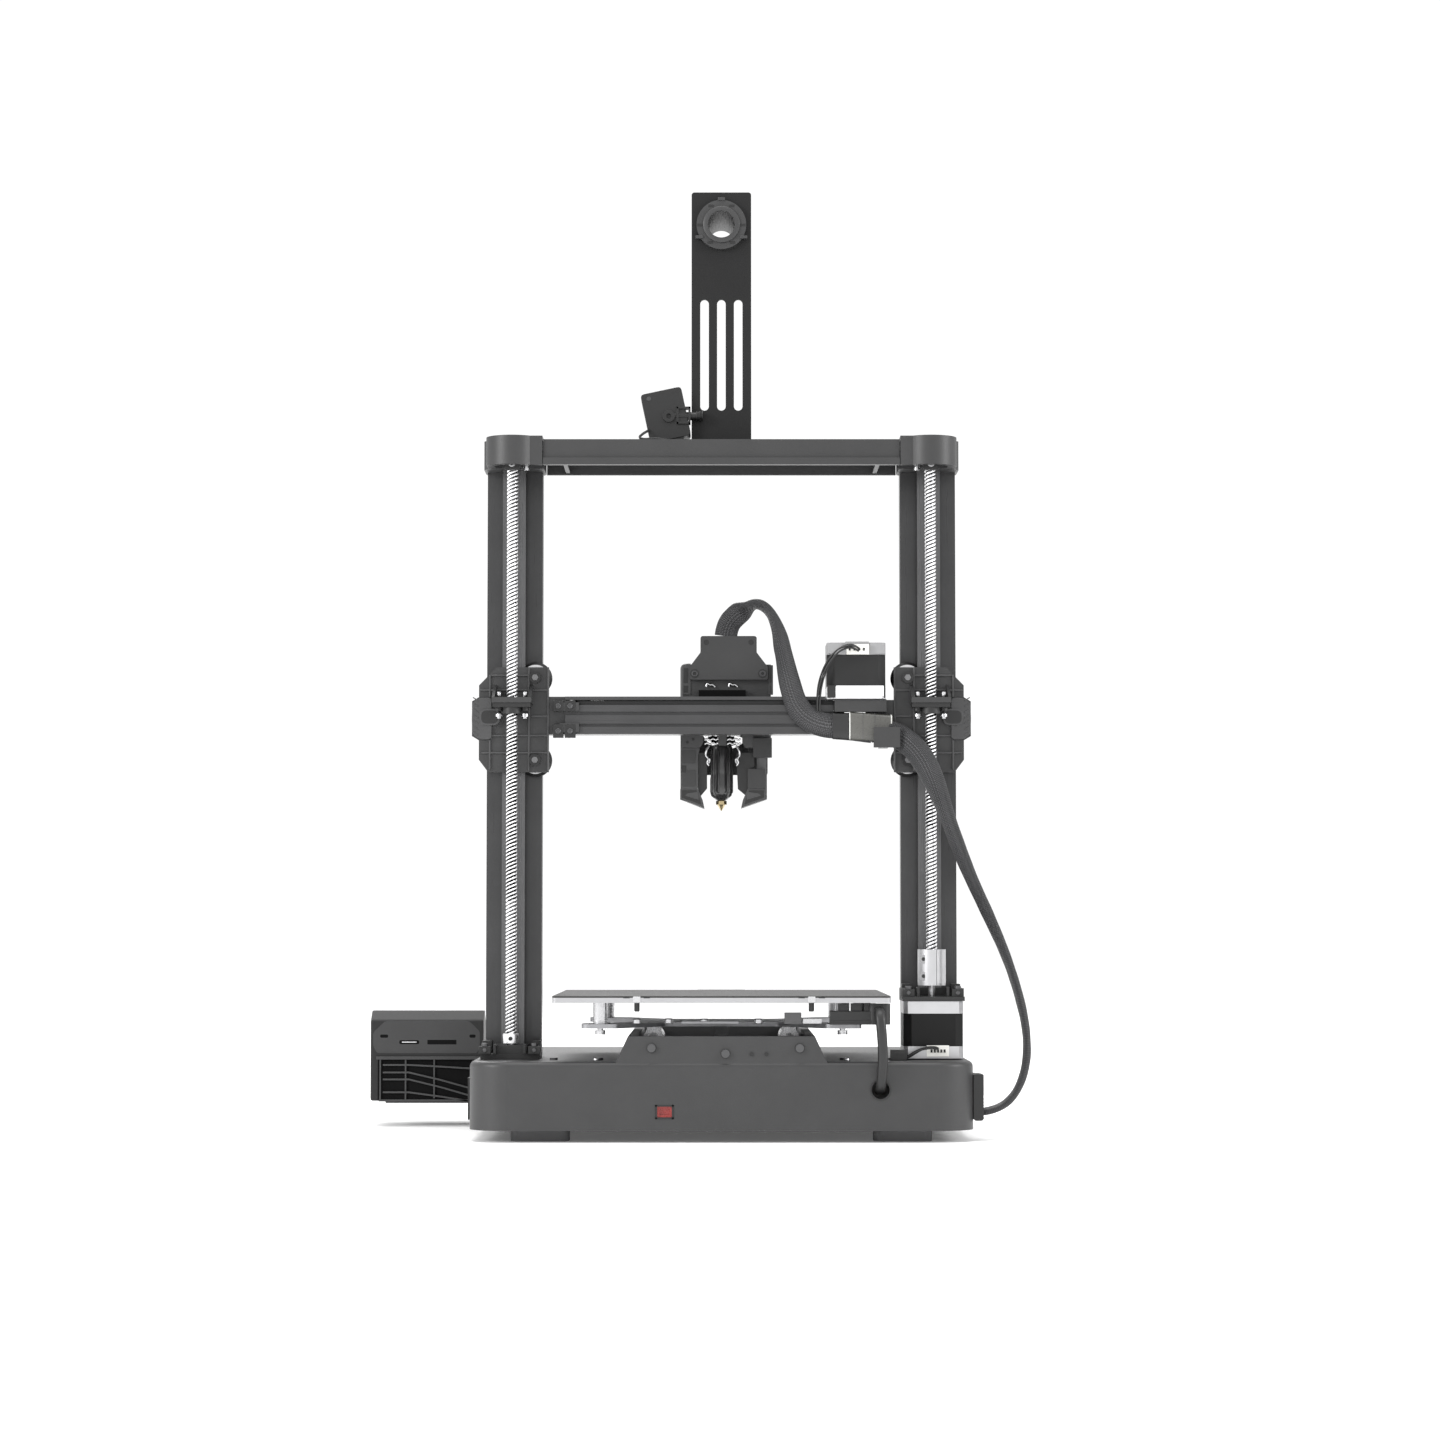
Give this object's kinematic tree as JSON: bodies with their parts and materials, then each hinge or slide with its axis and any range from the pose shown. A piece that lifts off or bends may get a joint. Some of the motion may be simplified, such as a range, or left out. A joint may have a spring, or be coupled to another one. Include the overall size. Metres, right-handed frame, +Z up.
{
  "type": "fdm printer",
  "caption": "Desktop filament printer with a sliding heated bed, a gantry raised by lead screws, a belt-driven print head, a spool bracket and a side display.",
  "frame": {"origin": "centre of the footprint of the machine without its free cables, on the surface that it stands on", "axes": "+Z up, +Y towards the rear of the machine, +X towards the side that carries the display"},
  "size_m": [0.4825, 0.318, 0.682],
  "materials": {
    "moulded_plastic": "matt moulded, fine spark grain",
    "coated_aluminium": "satin anodised extrusion",
    "coated_steel": "fine powder coat",
    "sheet_steel_dark": "powder coat",
    "rubber_foot": "matt",
    "belt_rubber": "matt ribbed",
    "black_cable": "satin insulation",
    "braided_sleeve": "braided monofilament",
    "motor_black": "laminated steel with satin end caps",
    "bare_aluminium": "fine brushed",
    "polished_steel": "ground",
    "circuit_board": "solder mask",
    "red_plastic": "gloss",
    "rocker_red": "gloss",
    "screen_glass": "polished",
    "fan_plastic": "satin",
    "knob_aluminium": "knurled",
    "sheet_pei": "fine textured",
    "pom_black": "satin",
    "lever_plastic": "satin"
  },
  "bodies": {
    "root": {"base_shell": "moulded_plastic", "base_bottom_plate": "sheet_steel_dark", "feet": "rubber_foot", "uprights": "coated_aluminium", "top_beam": "coated_aluminium", "top_caps": "moulded_plastic", "frame_belts": "belt_rubber", "spool_bracket": "coated_steel", "spool_hub": "moulded_plastic", "filament_sensor": "moulded_plastic", "frame_leads": "black_cable", "frame_motors": "motor_black", "z_foot_brackets": "moulded_plastic", "power_supply": "bare_aluminium", "mainboard": "circuit_board", "power_inlet": "moulded_plastic", "voltage_selector": "red_plastic", "y_rods": "polished_steel", "display_bracket": "moulded_plastic", "display_housing": "moulded_plastic", "display_screen": "screen_glass", "harness_connector": "moulded_plastic", "frame_screws": "polished_steel"},
    "power_switch": {"power_switch": "rocker_red"},
    "board_fan": {"board_fan_rotor": "fan_plastic"},
    "y_pulley": {"y_pulley": "bare_aluminium"},
    "knob_shaft": {"knob_shaft": "polished_steel"},
    "display_knob": {"display_knob": "knob_aluminium"},
    "screw_left": {"z_screw_left": "polished_steel", "z_coupler": "bare_aluminium"},
    "screw_right": {"z_screw_right": "polished_steel"},
    "bed": {"y_carriage_plate": "bare_aluminium", "bed_plate": "bare_aluminium", "bed_sheet": "sheet_pei", "bed_posts": "polished_steel", "y_bearings": "polished_steel", "bed_connector": "moulded_plastic", "bed_cable": "braided_sleeve"},
    "gantry": {"z_carriages": "moulded_plastic", "z_nuts": "pom_black", "z_wheels": "pom_black", "x_beam": "coated_aluminium", "x_motor": "motor_black", "x_belt": "belt_rubber", "harness_clamp": "coated_steel", "harness_lower": "braided_sleeve", "x_motor_leads": "black_cable"},
    "x_pulley": {"x_pulley": "bare_aluminium"},
    "toolhead": {"x_carriage": "coated_steel", "toolhead_shroud": "moulded_plastic", "cable_cover": "moulded_plastic", "hotend": "bare_aluminium", "extruder": "motor_black", "probe": "moulded_plastic", "harness_upper": "braided_sleeve"},
    "hotend_fan": {"hotend_fan_rotor": "fan_plastic"},
    "blower": {"blower_rotor": "fan_plastic"},
    "drive_gear": {"drive_gear": "polished_steel"},
    "feed_lever": {"feed_lever": "lever_plastic"},
    "probe_pin": {"probe_pin": "polished_steel"}
  },
  "joints": [
    {"name": "z_slide", "type": "slide", "parent": "root", "child": "gantry", "axis": [0, 0, 1], "range_m": [-0.131, 0.117], "deforming": ["harness_lower"]},
    {"name": "x_slide", "type": "slide", "parent": "gantry", "child": "toolhead", "axis": [1, 0, 0], "range_m": [-0.085, 0.088], "deforming": ["harness_upper"]},
    {"name": "y_slide", "type": "slide", "parent": "root", "child": "bed", "axis": [0, 1, 0], "range_m": [-0.129, 0.09], "deforming": ["bed_cable"]},
    {"name": "screw_left_turn", "type": "hinge", "parent": "root", "child": "screw_left", "pos_m": [-0.1891, 0.0945, 0.3], "axis": [0, 0, 1], "continuous": true},
    {"name": "screw_right_turn", "type": "hinge", "parent": "root", "child": "screw_right", "pos_m": [0.1095, 0.0945, 0.3], "axis": [0, 0, 1], "continuous": true},
    {"name": "y_pulley_turn", "type": "hinge", "parent": "root", "child": "y_pulley", "pos_m": [-0.0398, 0.1225, 0.0314], "axis": [1, 0, 0], "continuous": true},
    {"name": "x_pulley_turn", "type": "hinge", "parent": "gantry", "child": "x_pulley", "pos_m": [-0.1362, 0.0695, 0.31], "axis": [0, 0, 1], "continuous": true},
    {"name": "power_switch_rock", "type": "hinge", "parent": "root", "child": "power_switch", "pos_m": [0.13155, 0.0405, 0.025], "axis": [0, 1, 0], "range_deg": [-14, 0]},
    {"name": "knob_press", "type": "slide", "parent": "root", "child": "knob_shaft", "axis": [0, 0.5519, -0.8339], "range_m": [0, 0.0007], "stiffness_N_per_m": 1500, "springref_m": -0.0005},
    {"name": "knob_turn", "type": "hinge", "parent": "knob_shaft", "child": "display_knob", "pos_m": [0.2118, -0.11585, 0.05236], "axis": [0, -0.5519, 0.8339], "continuous": true},
    {"name": "board_fan_spin", "type": "hinge", "parent": "root", "child": "board_fan", "pos_m": [0.0782, -0.0855, 0.016], "axis": [0, 0, 1], "continuous": true},
    {"name": "hotend_fan_spin", "type": "hinge", "parent": "toolhead", "child": "hotend_fan", "pos_m": [-0.043, -0.0159, 0.3], "axis": [0, 1, 0], "continuous": true},
    {"name": "blower_spin", "type": "hinge", "parent": "toolhead", "child": "blower", "pos_m": [-0.0692, 0.0005, 0.312], "axis": [1, 0, 0], "continuous": true},
    {"name": "drive_gear_turn", "type": "hinge", "parent": "toolhead", "child": "drive_gear", "pos_m": [-0.0458, 0.01, 0.331], "axis": [0, 1, 0], "continuous": true},
    {"name": "feed_lever_swing", "type": "hinge", "parent": "toolhead", "child": "feed_lever", "pos_m": [-0.0288, 0.0095, 0.318], "axis": [0, 1, 0], "range_deg": [0, 8], "stiffness_Nm_per_rad": 0.4, "springref_deg": -2.86},
    {"name": "probe_pin_slide", "type": "slide", "parent": "toolhead", "child": "probe_pin", "axis": [0, 0, 1], "range_m": [-0.007, 0.0005]}
  ],
  "couplings": [
    {"joint": "screw_left_turn", "follows": "z_slide", "rad_per_m": 785.4},
    {"joint": "screw_right_turn", "follows": "z_slide", "rad_per_m": 785.4},
    {"joint": "y_pulley_turn", "follows": "y_slide", "rad_per_m": -156.99},
    {"joint": "x_pulley_turn", "follows": "x_slide", "rad_per_m": 156.99}
  ]
}
